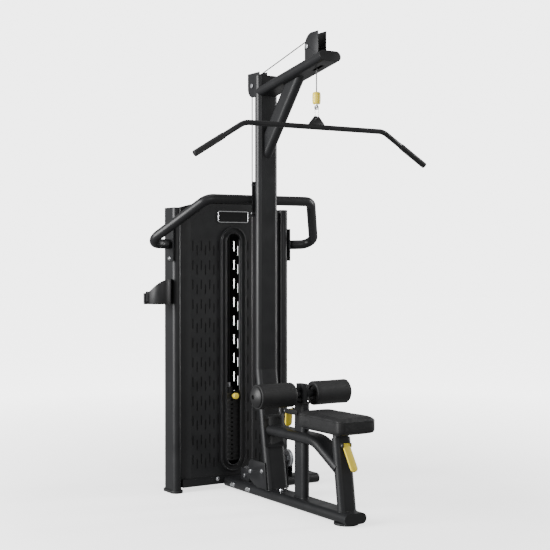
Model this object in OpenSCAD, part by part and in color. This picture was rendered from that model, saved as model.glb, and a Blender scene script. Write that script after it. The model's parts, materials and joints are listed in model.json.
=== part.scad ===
// Lat pulldown machine: a slotted tower with a weight stack, a leaning column
// with an overhead arm, a seat and a foam thigh hold-down on a floor rail.
// Millimetres, +Z up, the user faces +Y. Every module is drawn about the
// column axis (y = 0) and shifted so that the origin is the footprint's centre.

/* [Tubes] */
// Wide side of the main flat-oval tube
tube_w = 120; // [110:1:130]
// Narrow side of the main flat-oval tube
tube_t = 50; // [46:1:54]
// Wall of every steel tube
wall = 3; // [2:0.5:4]

/* [Column and arm] */
// Height where the column changes from leaning to upright
knee_z = 645; // [620:5:680]
// Lean of the column's lower part, degrees
lean = 9.7; // [8:0.1:11]
// Top of the column
column_top = 2105; // [2095:1:2115]
// Front end of the arm, measured from the column axis
arm_front_y = -560; // [-580:1:-540]
// Rise of the arm toward the front, degrees
arm_rise = 10.4; // [9:0.1:12]
// Centre height of the arm over the column
arm_z = 2027; // [2010:1:2040]

/* [Pulleys and cable] */
// Radius of the cable in a pulley's groove
groove_r = 42; // [38:1:44]
// Cable diameter
cable_d = 6; // [5:0.5:7]
// Height of the front overhead pulley's axle
front_axle_z = 2193; // [2185:1:2200]
// Height of the rear overhead pulley's axle
rear_axle_z = 2068; // [2060:1:2075]
// Height of the lat bar's axis at rest
bar_z = 1813; // [1790:1:1830]

/* [Lat bar] */
// Bar diameter
bar_d = 25; // [24:1:28]
// Half length of the straight middle
bar_half = 390; // [370:5:410]
// Length of each angled end
bar_end_len = 296; // [270:2:310]
// Droop of the angled ends, degrees
bar_droop = 31; // [25:1:35]

/* [Tower] */
// Half distance between the two posts
post_x = 322; // [310:1:330]
// Top of the posts
post_top = 1456; // [1440:1:1470]
// Top of the front panel at its middle
panel_top = 1502; // [1490:1:1520]
// Width of the window's opening
window_w = 78; // [70:1:90]
// Top of the window's opening
window_top = 1328; // [1300:1:1340]
// Bottom of the window's opening
window_bottom = 121; // [115:1:140]

/* [Weight stack] */
// Number of plates that stay down
plate_count = 14; // [10:1:14]
// Thickness of a plate
plate_t = 23; // [20:0.5:23]
// Bottom of the stack
stack_z = 140; // [138:1:144]

/* [Seat] */
// Top of the seat pad
seat_top = 494; // [485:1:505]
// Thickness of the seat pad
pad_t = 78; // [70:1:82]
// Lean of the seat leg, degrees
leg_lean = 8.2; // [7:0.1:9]

/* [Hold-down rollers] */
// Foam roller diameter
roller_d = 118; // [110:1:122]
// Foam roller length
roller_len = 219; // [210:1:230]
// Height of the roller axle
roller_z = 554; // [550:1:570]

/* [Hidden] */

$fn = 48;
y_shift = 160;                        // column axis to the centre of the footprint
paint = "#1c1d1f";
panel_paint = "#232427";
bend_grow = 0.3;                      // one limb of a bend is this much larger than the other
rail_z = 36;                          // centre height of the floor rail
rail_top = rail_z + tube_t / 2;
rail_front = -764;
tower_y = 388;                        // centre of the posts, front to back
tower_front = 326;
post_len_y = 124;
knee_foot_y = -tan(lean) * (knee_z - rail_top);
front_axle_y = -407;                  // front overhead pulley
drop_y = front_axle_y - groove_r;     // the bar hangs under the front of that pulley
rear_axle_y = 92;                     // rear overhead pulley
cable_down_y = rear_axle_y + groove_r;
floor_axle_y = cable_down_y + groove_r;
low_axle_z = 88;
stack_y = 372;                        // lifting line of the stack
top_axle_y = stack_y + groove_r;
top_axle_z = 1412;
plate_pitch = plate_t + 0.5;
head_z = stack_z + plate_count * plate_pitch;
head_t = 25;
pin_z = head_z + head_t / 2;
rod_top = 548;
stopper_z = bar_z + 107;
stopper_len = 56;
leg_foot_y = -695;
leg_foot_z = rail_top;
leg_w = 92;
leg_len = 330;
post_y = -326;                        // roller post
post_len = 446;
post_top_z = rail_top + post_len;
lever_at_leg = [0, -689, 357];        // pivots of the two paddle levers
lever_at_post = [0, -212, 464];
lever_pin_r = 3;
bolt_r = 8;
axle_hole_r = 6.1;
rod_hole_r = 10.05;                   // running fit on a 20 mm rod
rod_x = 75;                           // guide rods
rod_y = 388;
side_pulley_x = 249;
side_axle_y = 190;
side_axle_z = 150;
stabiliser_len = 454;
foot_beam_y = 250;                    // stabiliser, front to back
link_r = 14;                          // snap link's end radius
eye_z = 92;                           // swivel eye above the bar
link_low_z = 40;                      // snap link's lower wire above the bar

// ---------- shared shapes ----------

// Moves the part from the column axis to the footprint's centre
module place() translate([0, y_shift, 0]) children();

// Stadium outline, w along x and t along y, w larger than t
module oval2d(w, t) {
    square([w - t, t], center = true);
    translate([-(w - t) / 2, 0]) circle(d = t);
    translate([(w - t) / 2, 0]) circle(d = t);
}

// Solid flat-oval bar along +Z
module oval_bar(w, t, len) linear_extrude(len) oval2d(w, t);

// Flat-oval tube along +Z
module oval_tube(w, t, len) {
    linear_extrude(len) difference() {
        oval2d(w, t);
        oval2d(w - 2 * wall, t - 2 * wall);
    }
}

// Turns +Z toward the direction (dy, dz) in the middle plane
module aim(y0, z0, dy, dz) translate([0, y0, z0]) rotate([atan2(-dy, dz), 0, 0]) children();

// Cylinder along X through (y, z)
module x_rod(y, z, r, x0, x1) translate([x0, y, z]) rotate([0, 90, 0]) cylinder(r = r, h = x1 - x0);

// Flat plate in the YZ plane from an outline, between x0 and x1
module x_plate(x0, x1) translate([x0, 0, 0]) rotate([90, 0, 90]) linear_extrude(x1 - x0) children();

// Rounded rectangle outline about its centre
module round_rect(w, h, r) {
    square([w, h - 2 * r], center = true);
    square([w - 2 * r, h], center = true);
    for (sx = [-1, 1], sy = [-1, 1]) translate([sx * (w / 2 - r), sy * (h / 2 - r)]) circle(r = r);
}

// Hexagon bolt head with its washer, pointing along +Z from the seat
module bolt_head(r = bolt_r) {
    cylinder(r = r * 1.35, h = 1.6);
    translate([0, 0, 1.6]) cylinder(r = r, h = 5.4, $fn = 6);
}

// A pulley about the X axis at (y, z): flanges, groove, bore for its axle
module pulley(y, z, x = 0, r = groove_r, axle_r = 6) {
    groove = cable_d / 2 + 0.4;
    translate([x, y, z]) rotate([0, 90, 0]) rotate_extrude() difference() {
        translate([axle_r + 0.05, -9]) square([r + 5 - axle_r, 18]);
        translate([r, 0]) circle(r = groove);
        translate([r, -groove]) square([20, 2 * groove]);
        translate([axle_r + 9, 5]) square([r - axle_r - 20, 10]);
        translate([axle_r + 9, -15]) square([r - axle_r - 20, 10]);
    }
}

// Quarter or longer arc of cable about the X axis at (y, z), from a0 by a degrees
module cable_arc(y, z, a0, a, r = groove_r) {
    translate([0, y, z]) rotate([0, 90, 0]) rotate([0, 0, a0])
        rotate_extrude(angle = a) translate([r, 0]) circle(d = cable_d, $fn = 16);
}

// ---------- frame ----------

// Frame of the seat's leg and sliding parts: z runs up the leg from its foot
module on_leg() aim(leg_foot_y, leg_foot_z, sin(leg_lean), cos(leg_lean)) children();

module seat_leg_solid() on_leg() oval_bar(leg_w, 50, leg_len);

module roller_post_solid(grow = 0) translate([0, post_y, 0]) rotate([0, 0, 90])
    translate([0, 0, rail_top]) oval_bar(90 + grow, 45 + grow, post_len);

module rail_solid(grow = 0) translate([0, rail_front, rail_z]) rotate([-90, 0, 0])
    oval_bar(tube_w + 2 * grow, tube_t + grow, tower_front - rail_front);

module base_rail() color(paint) place() {
    difference() {
        translate([0, rail_front, rail_z]) rotate([-90, 0, 0])
            oval_tube(tube_w, tube_t, tower_front - rail_front);
        // slot where the cable enters the rail under the floor pulley
        translate([-11, floor_axle_y - 50, rail_z]) cube([22, 120, 40]);
    }
    // welded plate that closes the front end
    translate([0, rail_front + 3, rail_z]) rotate([90, 0, 0])
        linear_extrude(3) oval2d(tube_w - 2 * wall - 0.2, tube_t - 2 * wall - 0.2);
}

// The two limbs of the column; the leaning one is a hair larger, so that they cross cleanly
module column_shell(w, t) {
    translate([0, 0, knee_z]) oval_bar(w, t, column_top - knee_z);
    aim(knee_foot_y, rail_top, tan(lean), 1)
        oval_bar(w + 2 * bend_grow, t + bend_grow, (knee_z - rail_top) / cos(lean) + 4);
}

module column() color(paint) place() difference() {
    column_shell(tube_w, tube_t);
    translate([0, 0, -0.5]) column_shell(tube_w - 2 * wall, tube_t - 2 * wall);
    translate([0, 0, column_top - 10]) oval_bar(tube_w - 2 * wall, tube_t - 2 * wall, 20);
    rail_solid(bend_grow);
    arm_solid(bend_grow);
}

module arm_solid(grow = 0) {
    run = -arm_front_y / cos(arm_rise);
    aim(0, arm_z, -cos(arm_rise), sin(arm_rise)) oval_bar(tube_w + 2 * grow, tube_t + grow, run);
}

module overhead_arm() color(paint) place() difference() {
    run = (-arm_front_y) / cos(arm_rise);
    aim(0, arm_z, -cos(arm_rise), sin(arm_rise)) oval_tube(tube_w, tube_t, run - 2);
    // slot for the cable that comes off the front pulley
    translate([-11, drop_y - 52, arm_z]) cube([22, 78, 200]);
}

// Plastic plug with a flange that closes a tube's open end
module end_cap(w = tube_w) {
    linear_extrude(4) oval2d(w - 0.4, tube_t - 0.4);
    translate([0, 0, -14]) linear_extrude(14.1) oval2d(w - 2 * wall - 1, tube_t - 2 * wall - 1);
}

module tube_end_caps() color("#101011") place() {
    translate([0, 0, column_top]) end_cap();
    aim(0, arm_z, -cos(arm_rise), sin(arm_rise))
        translate([0, 0, -arm_front_y / cos(arm_rise) - 2]) end_cap();
    for (s = [-1, 1]) translate([s * post_x, tower_y, post_top]) rotate([0, 0, 90])
        end_cap(post_len_y);
}

brace_w = 96;
brace_lean = 40.3;
brace_foot = [12, 1727];
brace_lap = 60;

module arm_brace() color(paint) place() difference() {
    aim(brace_foot[0], brace_foot[1], -sin(brace_lean), cos(brace_lean))
        translate([0, 0, -brace_lap]) rotate([0, 0, 90]) oval_tube(brace_w, tube_t, 500 + brace_lap);
    arm_solid();
    translate([-tube_w / 2, -tube_t / 2, brace_foot[1] - 150]) cube([tube_w, 200, 600]);
    aim(0, arm_z + 140, -cos(arm_rise), sin(arm_rise)) oval_bar(400, 280, 700);
}

module front_pulley_bracket() color(paint) place() difference() {
    for (x = [-24, 21]) x_plate(x, x + 3) difference() {
        translate([-496, 2090]) square([112, 165]);
        // rounded rear top corner
        difference() {
            translate([-384 - 60, 2255 - 60]) square([61, 61]);
            translate([-384 - 60, 2255 - 60]) circle(r = 60);
        }
    }
    arm_solid();
    translate([-60, -600, 1900]) cube([120, 300, 190]);
    aim(0, arm_z, -cos(arm_rise), sin(arm_rise)) translate([-100, -300, 0]) cube([200, 300, 700]);
    x_rod(front_axle_y, front_axle_z, axle_hole_r, -40, 40);
}

module rear_pulley_bracket() color(paint) place() difference() {
    for (x = [-24, 21]) x_plate(x, x + 3) difference() {
        translate([25, 2010]) square([113, 123]);
        difference() {
            translate([138 - 50, 2009]) square([51, 51]);
            translate([138 - 50, 2060]) circle(r = 50);
        }
    }
    x_rod(rear_axle_y, rear_axle_z, axle_hole_r, -40, 40);
}

module front_top_pulley() color("#b9bcc0") place() pulley(front_axle_y, front_axle_z);
module rear_top_pulley() color("#b9bcc0") place() pulley(rear_axle_y, rear_axle_z);

// One through axle with a head and a nut
module axle(y, z, half, x = 0) {
    x_rod(y, z, 6, x - half, x + half);
    x_rod(y, z, 11, x - half - 7, x - half);
    x_rod(y, z, 11, x + half, x + half + 7);
}

module axles_and_pins() color("#c9ccd0") place() {
    axle(front_axle_y, front_axle_z, 24);
    axle(rear_axle_y, rear_axle_z, 24);
    axle(floor_axle_y, low_axle_z, 19);
    axle(top_axle_y, low_axle_z, 19);
    axle(top_axle_y, top_axle_z, 19);
    axle(side_axle_y, side_axle_z, 19, side_pulley_x);
    // pivot pins of the two paddle levers
    for (p = [lever_at_leg, lever_at_post]) x_rod(p[1], p[2], lever_pin_r, -27, 27);
}

// ---------- cable ----------

// Straight stretch of cable in the middle plane; its ends run a little into the arcs
module rope(y0, z0, y1, z1) aim(y0, z0, y1 - y0, z1 - z0)
    translate([0, 0, -1]) cylinder(d = cable_d - 0.1, h = norm([y1 - y0, z1 - z0]) + 2, $fn = 16);

module main_cable() color("#0c0c0d") place() {
    dy = rear_axle_y - front_axle_y;
    dz = rear_axle_z - front_axle_z;
    tilt = atan2(dz, dy);
    ny = -sin(tilt) * groove_r;
    nz = cos(tilt) * groove_r;
    // over the two overhead pulleys
    cable_arc(front_axle_y, front_axle_z, 180 + tilt, 90 - tilt);
    rope(front_axle_y + ny, front_axle_z + nz, rear_axle_y + ny, rear_axle_z + nz);
    cable_arc(rear_axle_y, rear_axle_z, 180 + tilt, -(90 + tilt));
    // down behind the column, under the floor pulley, through the rail
    rope(cable_down_y, rear_axle_z, cable_down_y, low_axle_z);
    cable_arc(floor_axle_y, low_axle_z, -90, 90);
    rope(floor_axle_y, low_axle_z - groove_r, top_axle_y, low_axle_z - groove_r);
    cable_arc(top_axle_y, low_axle_z, 0, 90);
    // up behind the stack and over the tower's pulley
    rope(top_axle_y + groove_r, low_axle_z, top_axle_y + groove_r, top_axle_z);
    cable_arc(top_axle_y, top_axle_z, 90, 180);
}

module bar_cable() color("#0c0c0d") place()
    translate([0, drop_y, stopper_z + stopper_len])
        cylinder(d = cable_d, h = front_axle_z - stopper_z - stopper_len, $fn = 16);

module stack_cable() color("#0c0c0d") place()
    translate([0, stack_y, rod_top]) cylinder(d = cable_d, h = top_axle_z - rod_top, $fn = 16);

module cable_stopper() color("#e3c61c") place() translate([0, drop_y, stopper_z]) {
    rotate_extrude() polygon([
        [0, 0], [15, 0], [18.5, 5], [19.5, 16], [19.5, 40],
        [18.5, 51], [15, stopper_len], [0, stopper_len]]);
}

module swivel_eye() color("#c9ccd0") place() translate([0, drop_y, bar_z + eye_z]) difference() {
    union() {
        translate([0, 0, 9]) cylinder(r = 7, h = stopper_z - bar_z - eye_z - 9.4);
        translate([0, 3, 0]) rotate([90, 0, 0]) cylinder(r = 11, h = 6);
    }
    translate([0, 5, 0]) rotate([90, 0, 0]) cylinder(r = 6, h = 10);
}

// Oval snap link in the plane across the bar's lugs
module carabiner() color("#d4d6d9") place() {
    low = bar_z + link_low_z + link_r;
    high = bar_z + eye_z - link_r;
    for (end = [[high, 0], [low, 180]]) translate([0, drop_y, end[0]]) rotate([90, 0, 90])
        rotate([0, 0, end[1]]) rotate_extrude(angle = 180) translate([link_r, 0]) circle(r = 2.8);
    for (y = [-link_r, link_r]) translate([0, drop_y + y, low]) cylinder(r = 2.8, h = high - low);
}

module bar_lugs() color(paint) place() difference() {
    for (y = [-7, 2]) translate([0, drop_y + y + 5, bar_z]) rotate([90, 0, 0]) linear_extrude(5)
        polygon([[-43, 4], [43, 4], [38, 18], [9, 51], [-9, 51], [-38, 18]]);
    bar_rod(bar_d / 2 + 0.05);
    translate([0, drop_y + 20, bar_z + link_low_z + 1]) rotate([90, 0, 0]) cylinder(r = 5.5, h = 40);
}

module bar_rod(r) translate([0, drop_y, bar_z]) {
    rotate([0, 90, 0]) cylinder(r = r, h = 2 * bar_half, center = true);
    for (s = [-1, 1]) translate([s * bar_half, 0, 0]) {
        sphere(r = r);
        rotate([0, s * (90 + bar_droop), 0]) cylinder(r = r, h = bar_end_len);
    }
}

module lat_bar() color(paint) place() difference() {
    bar_rod(bar_d / 2);
    bar_rod(bar_d / 2 - 3);
}

module bar_grips() color("#141415") place() translate([0, drop_y, bar_z]) for (s = [-1, 1])
    translate([s * bar_half, 0, 0]) rotate([0, s * (90 + bar_droop), 0]) difference() {
        translate([0, 0, bar_end_len - 170]) cylinder(r = bar_d / 2 + 2.5, h = 173);
        cylinder(r = bar_d / 2 + 0.05, h = bar_end_len);
    }

// ---------- tower ----------

module tower_posts() color(paint) place() for (s = [-1, 1])
    translate([s * post_x, tower_y, 14]) rotate([0, 0, 90]) oval_tube(post_len_y, tube_t, post_top - 14);

module tower_feet() color("#0f0f10") place() for (s = [-1, 1])
    translate([s * post_x, tower_y, 0]) rotate([0, 0, 90]) {
        linear_extrude(14) oval2d(post_len_y + 16, tube_t + 16);
        translate([0, 0, 14]) linear_extrude(12) oval2d(post_len_y - 7, tube_t - 7);
    }

beam_half = post_x - tube_t / 2;

module tower_cross_beams() color(paint) place() difference() {
    union() {
        for (y = [tower_front, 420]) translate([-beam_half, y, 26]) cube([2 * beam_half, 30, 41.5]);
        for (y = [tower_front + 23, 400]) translate([-beam_half, y, 1360]) cube([2 * beam_half, 24, 20]);
        // cradles of the two tower pulleys
        for (x = [-19, 15]) {
            translate([x, tower_front + 29, 26]) cube([4, 95, 76]);
            translate([x, tower_front + 9, 1340]) cube([4, 90, 86]);
        }
        for (s = [-1, 1]) {
            // shelves under the rubber bumpers, bridges at the rods' tops
            translate([s * rod_x - 30, tower_front + 29, 50]) cube([60, 66, 25]);
            translate([s * rod_x - 25, tower_front + 30, 1362]) cube([50, 46, 16]);
        }
    }
    translate([-7, tower_front - 5, 38]) cube([14, 60, 16]);
    translate([-11, 345, 1330]) cube([22, 125, 60]);
    translate([-11, 400, 20]) cube([22, 70, 60]);
    x_rod(top_axle_y, low_axle_z, axle_hole_r, -40, 40);
    x_rod(top_axle_y, top_axle_z, axle_hole_r, -40, 40);
    for (s = [-1, 1]) translate([s * rod_x, rod_y, 60]) cylinder(r = rod_hole_r, h = 1400);
}

// Region above the panels' arched top, to be cut away
module above_arch() for (s = [-1, 1])
    polygon([[s * 60, panel_top], [s * 150, 1490], [s * 240, 1468], [s * 300, 1439], [s * 300, 1600],
             [s * 60, 1600]]);

slot_len = 52;
slot_w = 7;
slot_x = 90;                          // innermost column of slots
slot_step_x = 24.7;
slot_step_z = 100;
slot_drop = 24;                       // every second column sits this much lower

// Staggered slots on both sides of the window
module panel_slots(columns) for (col = [0 : columns - 1], row = [0 : 11], s = [-1, 1])
    translate([s * (slot_x + col * slot_step_x), 165 + row * slot_step_z - (col % 2) * slot_drop])
        rotate(90) oval2d(slot_len, slot_w);

// Upright stadium between two heights
module window_cut(w, z0, z1) {
    translate([-w / 2, z0 + w / 2]) square([w, z1 - z0 - w]);
    for (z = [z0 + w / 2, z1 - w / 2]) translate([0, z]) circle(d = w);
}

// Plan of the folded front sheet: a flat middle, side facets that lead back to the posts
module panel_plan() {
    half = beam_half - 0.5;
    back = tower_front + 6 + (half - 250) * tan(20);
    polygon([[-250, tower_front + 3], [250, tower_front + 3], [half, back - 3], [half, back],
             [250, tower_front + 6], [-250, tower_front + 6], [-half, back], [-half, back - 3]]);
}

module front_panel() color(panel_paint) place() difference() {
    translate([0, 0, 68]) linear_extrude(panel_top - 68) panel_plan();
    translate([0, tower_front + 60, 0]) rotate([90, 0, 0]) linear_extrude(80) {
        above_arch();
        panel_slots(7);
        window_cut(window_w + 26, window_bottom - 13, window_top + 13);
        for (x = [-67, 67]) translate([x, 1425]) circle(r = 5);
    }
}

// Plastic sheets behind the front panel's slots, left and right of the window
module panel_liner() color("#0a0a0b") place() for (s = [-1, 1])
    translate([s * 154 - 94, tower_front + 6.2, 110]) cube([188, 2, 1230]);

module window_rim() color("#2e3033") place() translate([0, tower_front + 3, 0]) rotate([90, 0, 0]) {
    // inner raised bead
    linear_extrude(12) difference() {
        window_cut(window_w + 24, window_bottom - 12, window_top + 12);
        window_cut(window_w, window_bottom, window_top);
    }
    // recessed land between the beads
    linear_extrude(4) difference() {
        window_cut(window_w + 64, window_bottom - 32, window_top + 32);
        window_cut(window_w + 24.2, window_bottom - 12.1, window_top + 12.1);
    }
    // outer bead
    linear_extrude(9) difference() {
        window_cut(window_w + 76, window_bottom - 38, window_top + 38);
        window_cut(window_w + 64.2, window_bottom - 32.1, window_top + 32.1);
    }
}

module badge_plate() color("#0b0b0c") place()
    translate([0, tower_front + 3, 1416]) rotate([90, 0, 0]) {
        linear_extrude(3) round_rect(186, 64, 8);
        linear_extrude(5) difference() {
            round_rect(186, 64, 8);
            round_rect(178, 56, 5);
        }
    }

module rear_panel() color(panel_paint) place() {
    difference() {
        translate([-280, 473, 68]) cube([560, 3, panel_top - 68]);
        translate([0, 500, 0]) rotate([90, 0, 0]) linear_extrude(80) {
            above_arch();
            panel_slots(2);
        }
    }
    for (s = [-1, 1]) translate([s * 278.5 - 1.5, 432, 76]) cube([3, 41, 1340]);
}

// ---------- weight stack ----------

module plate_body(z, t, d = 96) translate([0, rod_y, z]) difference() {
    linear_extrude(t) round_rect(300, d, 8);
    for (s = [-1, 1]) translate([s * rod_x, 0, -1]) cylinder(r = 13, h = t + 2);
    translate([0, stack_y - rod_y, -1]) cylinder(r = 13, h = t + 2);
}

module weight_plates() color("#1a1a1b") place() for (i = [0 : plate_count - 1])
    difference() {
        plate_body(stack_z + i * plate_pitch, plate_t);
        translate([0, stack_y + 10, stack_z + i * plate_pitch + plate_t / 2])
            rotate([90, 0, 0]) cylinder(r = 5.5, h = 100);
    }

module head_plate() color("#141415") place() difference() {
    union() {
        plate_body(head_z, head_t);
        translate([0, stack_y, head_z]) cylinder(r = 20, h = head_t + 30);
    }
    translate([0, stack_y, head_z - 1]) cylinder(r = rod_hole_r, h = 200);
    translate([0, stack_y + 60, pin_z]) rotate([90, 0, 0]) cylinder(r = 5.05, h = 200);
}

module selector_rod() color("#c9ccd0") place() difference() {
    translate([0, stack_y, stack_z + 14]) cylinder(r = 10, h = rod_top - stack_z - 14);
    for (i = [0 : plate_count]) translate([0, stack_y + 30, pin_z - i * plate_pitch])
        rotate([90, 0, 0]) cylinder(r = 5.05, h = 60);
}

module selector_pin() color("#e3c61c") place() translate([0, 0, pin_z]) {
    translate([0, stack_y + 14, 0]) rotate([90, 0, 0]) cylinder(r = 5, h = stack_y + 14 - 318);
    translate([0, 320, 0]) rotate([90, 0, 0]) rotate_extrude()
        polygon([[0, -2], [9, -2], [13, 4], [16, 10], [16, 24], [13, 29], [0, 30]]);
}

module guide_rods() color("#d4d6d9") place() for (s = [-1, 1])
    translate([s * rod_x, rod_y, 76]) cylinder(r = 10, h = 1320);

module stack_bumpers() color("#0f0f10") place() for (s = [-1, 1]) difference() {
    translate([s * rod_x, rod_y, 75]) cylinder(r = 26, h = stack_z - 75);
    translate([s * rod_x, rod_y, 70]) cylinder(r = rod_hole_r, h = 90);
}

module tower_top_pulley() color("#b9bcc0") place() pulley(top_axle_y, top_axle_z);
module tower_base_pulley() color("#b9bcc0") place() pulley(top_axle_y, low_axle_z);
module floor_pulley() color("#b9bcc0") place() pulley(floor_axle_y, low_axle_z);
module side_pulley() color("#b9bcc0") place() pulley(side_axle_y, side_axle_z, side_pulley_x);

module pulley_brackets() color(paint) place() {
    floor_bracket();
    side_bracket();
}

module floor_bracket() difference() {
    for (x = [-19, 15]) x_plate(x, x + 4) translate([floor_axle_y - 42, rail_top]) square([84, 62]);
    x_rod(floor_axle_y, low_axle_z, axle_hole_r, -40, 40);
}

gusset_in = tube_w / 2 + 0.5;           // inner face of a gusset
gusset_t = 5;
gusset_bolts = [[47, 134], [-64, 150]];

// Bolted cheeks on both sides of the column's foot
module foot_gussets() color(paint) place() for (x = [-gusset_in - gusset_t, gusset_in])
    x_plate(x, x + gusset_t) difference() {
        polygon([[-112, 64], [-20, 64], [52, 92], [60, 112], [60, 178], [44, 194], [-92, 194]]);
        for (p = gusset_bolts) translate(p) circle(r = 6);
    }

// ---------- shoulder handle ----------

handle_r = 25;
handle_plate_t = 4.5;
plate_bolts = [[-58, 1425], [58, 1425], [-58, 1565], [58, 1565]];
// Corners of one half of the bar, from the middle of the machine to the post
handle_line = [[0, 55, 1492], [305, 55, 1492], [500, 318, 1276], [340, 368, 1272]];
mount_face_x = post_x + tube_t / 2 + 8.5;

module handle_half(s) {
    for (i = [0 : len(handle_line) - 2]) limb(handle_line[i], handle_line[i + 1], s);
    for (i = [1 : len(handle_line) - 2]) {
        p = handle_line[i];
        translate([s * p[0], p[1], p[2]]) sphere(r = handle_r + 0.4, $fn = 32);
    }
}

// Round bar between two points, mirrored by s
module limb(a, b, s) {
    d = b - a;
    len = norm(d);
    translate([s * a[0], a[1], a[2]])
        rotate([0, acos(d[2] / len), atan2(d[1], s * d[0])]) cylinder(r = handle_r, h = len, $fn = 48);
}

module handle_bar() color(paint) place() difference() {
    union() for (s = [-1, 1]) handle_half(s);
    translate([-mount_face_x, 200, 1200]) cube([2 * mount_face_x, 300, 140]);
}

module handle_mounts() color(paint) place() {
    // side plates on the posts
    for (s = [-1, 1]) translate([s * (mount_face_x - 4.1), 361, 1272]) cube([8, 70, 172], center = true);
    // plate between the column and the bar
    difference() {
        translate([-66, tube_t / 2 + 0.5, 1407]) cube([132, handle_plate_t - 0.5, 176]);
        for (p = plate_bolts) translate([p[0], 60, p[1]]) rotate([90, 0, 0]) cylinder(r = 6, h = 60);
    }
}

tray_r = 62;                            // outer radius of the tray's wall
tray_x = -post_x - tube_t / 2 - tray_r - 0.5;
tray_y = 372;
tray_z = 968;
tray_h = 126;

// Side profile of the tray's wall: level by the post, falling in an arc outward
module tray_profile() {
    square([70, tray_h]);
    intersection() {
        translate([0, 35]) circle(r = tray_h - 35);
        translate([-90, 0]) square([91, tray_h]);
    }
    translate([-91, 0]) square([91, 35]);
}

// Rounded tray on the left post for bars and handles, with an upturned hook
module accessory_hook() color("#0f0f10") place() {
    intersection() {
        translate([tray_x, tray_y, tray_z]) difference() {
            union() {
                cylinder(r = tray_r, h = tray_h);
                translate([-tray_r, 0, 0]) cube([2 * tray_r, 30, tray_h]);
            }
            translate([0, 0, 3]) cylinder(r = tray_r - 3, h = tray_h);
            translate([3 - tray_r, 0, 3]) cube([2 * tray_r - 6, 90, tray_h]);
            translate([-100, 30, -1]) cube([200, 100, tray_h + 2]);
        }
        translate([tray_x + 27, tray_y + 150, tray_z]) rotate([90, 0, 0]) linear_extrude(300) tray_profile();
    }
    translate([tray_x - tray_r + 2, tray_y, tray_z + 7]) rotate([0, -90, 0]) cylinder(r = 7, h = 20);
    translate([tray_x - tray_r - 18, tray_y, tray_z + 7]) {
        sphere(r = 7.2);
        cylinder(r = 7, h = 50);
    }
}

// ---------- seat ----------

module front_foot() color("#0f0f10") place() translate([0, -691, 0]) {
    cylinder(d = 115, h = rail_z - tube_t / 2);
}

module seat_leg() color(paint) place() difference() {
    aim(leg_foot_y, leg_foot_z, sin(leg_lean), cos(leg_lean)) translate([0, 0, -8]) difference() {
        oval_bar(leg_w, 50, leg_len + 8);
        translate([0, 0, -1]) oval_bar(leg_w - 6, 44, leg_len + 20);
    }
    rail_solid();
}

seat_rail_w = 104;
// The seat rail's centre line from the column to the leg, as (y, z)
seat_rail_line = [[-50, 353], [-445, 353], [-501, 338.8], [-661, 252]];

// Flat-oval bars end to end along the centre line, lapped a little at the bends
module seat_rail_bars(w, t) for (i = [0 : len(seat_rail_line) - 2]) {
    a = seat_rail_line[i];
    d = seat_rail_line[i + 1] - a;
    lap = i == 0 ? 0 : 3;
    grow = i == 1 ? bend_grow : 0;
    aim(a[0], a[1], d[0], d[1]) translate([0, 0, -lap]) oval_bar(w + 2 * grow, t + grow, norm(d) + lap + 3);
}

module seat_rail() color(paint) place() difference() {
    seat_rail_bars(seat_rail_w, tube_t);
    seat_rail_bars(seat_rail_w - 2 * wall, tube_t - 2 * wall);
    seat_leg_solid();
    on_leg() translate([-80, -300, -100]) cube([160, 300, 700]);
    roller_post_solid(0.2);
    aim(knee_foot_y, rail_top, tan(lean), 1) translate([-90, -33.9, 0]) cube([180, 500, 700]);
}

flange_bolts = [[-38, 225], [38, 225], [-38, 349], [38, 349]];

// Plate between the column and the seat rail, with its four painted bolts
module rail_flange() color(paint) place() aim(knee_foot_y, rail_top, tan(lean), 1) {
    translate([-60, -33.7, 207]) cube([120, 8.4, 160]);
    for (p = flange_bolts) translate([p[0], -33.6, p[1]]) rotate([90, 0, 0]) bolt_head(6.5);
}

module seat_slide_tube() color("#2a2b2d") place() on_leg() translate([0, 0, 150]) difference() {
    oval_bar(80, 42, 196);
    translate([0, 0, -1]) oval_bar(74, 36, 260);
    for (z = [20 : 30 : 170]) translate([0, 0, z]) rotate([90, 0, 0]) cylinder(r = 5, h = 30);
}

seat_under = seat_top - pad_t;

module seat_plate() color(paint) place() difference() {
    union() {
        translate([-75, -742, seat_under - 6]) cube([150, 290, 5.5]);
        on_leg() translate([0, 0, 330]) oval_bar(73.5, 35.5, 40);
    }
    translate([-200, -900, seat_under - 0.5]) cube([400, 600, 80]);
    for (x = [-55, 55], y = [-715, -480]) translate([x, y, seat_under - 20]) cylinder(r = 4, h = 30);
}

// Plain solid of the cushion: wider toward the front, round corners
module seat_pad() color("#161617") place() translate([0, 0, seat_under]) {
    corners = [[-80, -762, 34], [80, -762, 34], [64, -437, 34], [-64, -437, 34]];
    hull() for (c = corners) translate([c[0], c[1], 0]) {
        cylinder(r1 = c[2] - 5, r2 = c[2], h = 6, $fn = 32);
        translate([0, 0, 6]) cylinder(r = c[2], h = pad_t - 14, $fn = 32);
        translate([0, 0, pad_t - 8]) cylinder(r1 = c[2], r2 = c[2] - 7, h = 8, $fn = 32);
    }
}

// Paddle lever about the X axis: bored hub at the origin, the paddle hangs outward
module paddle(lean_out, len) difference() {
    union() {
        rotate([0, 90, 0]) cylinder(r = 8, h = 36, center = true);
        rotate([lean_out, 0, 0]) translate([0, 4.5, 6 - len / 2]) rotate([90, 0, 0])
            linear_extrude(9) rotate(90) oval2d(len, 36);
    }
    rotate([0, 90, 0]) cylinder(r = lever_pin_r + 0.05, h = 40, center = true);
}

module seat_lever() color("#e3c61c") place() translate(lever_at_leg) paddle(-32, 136);

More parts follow.
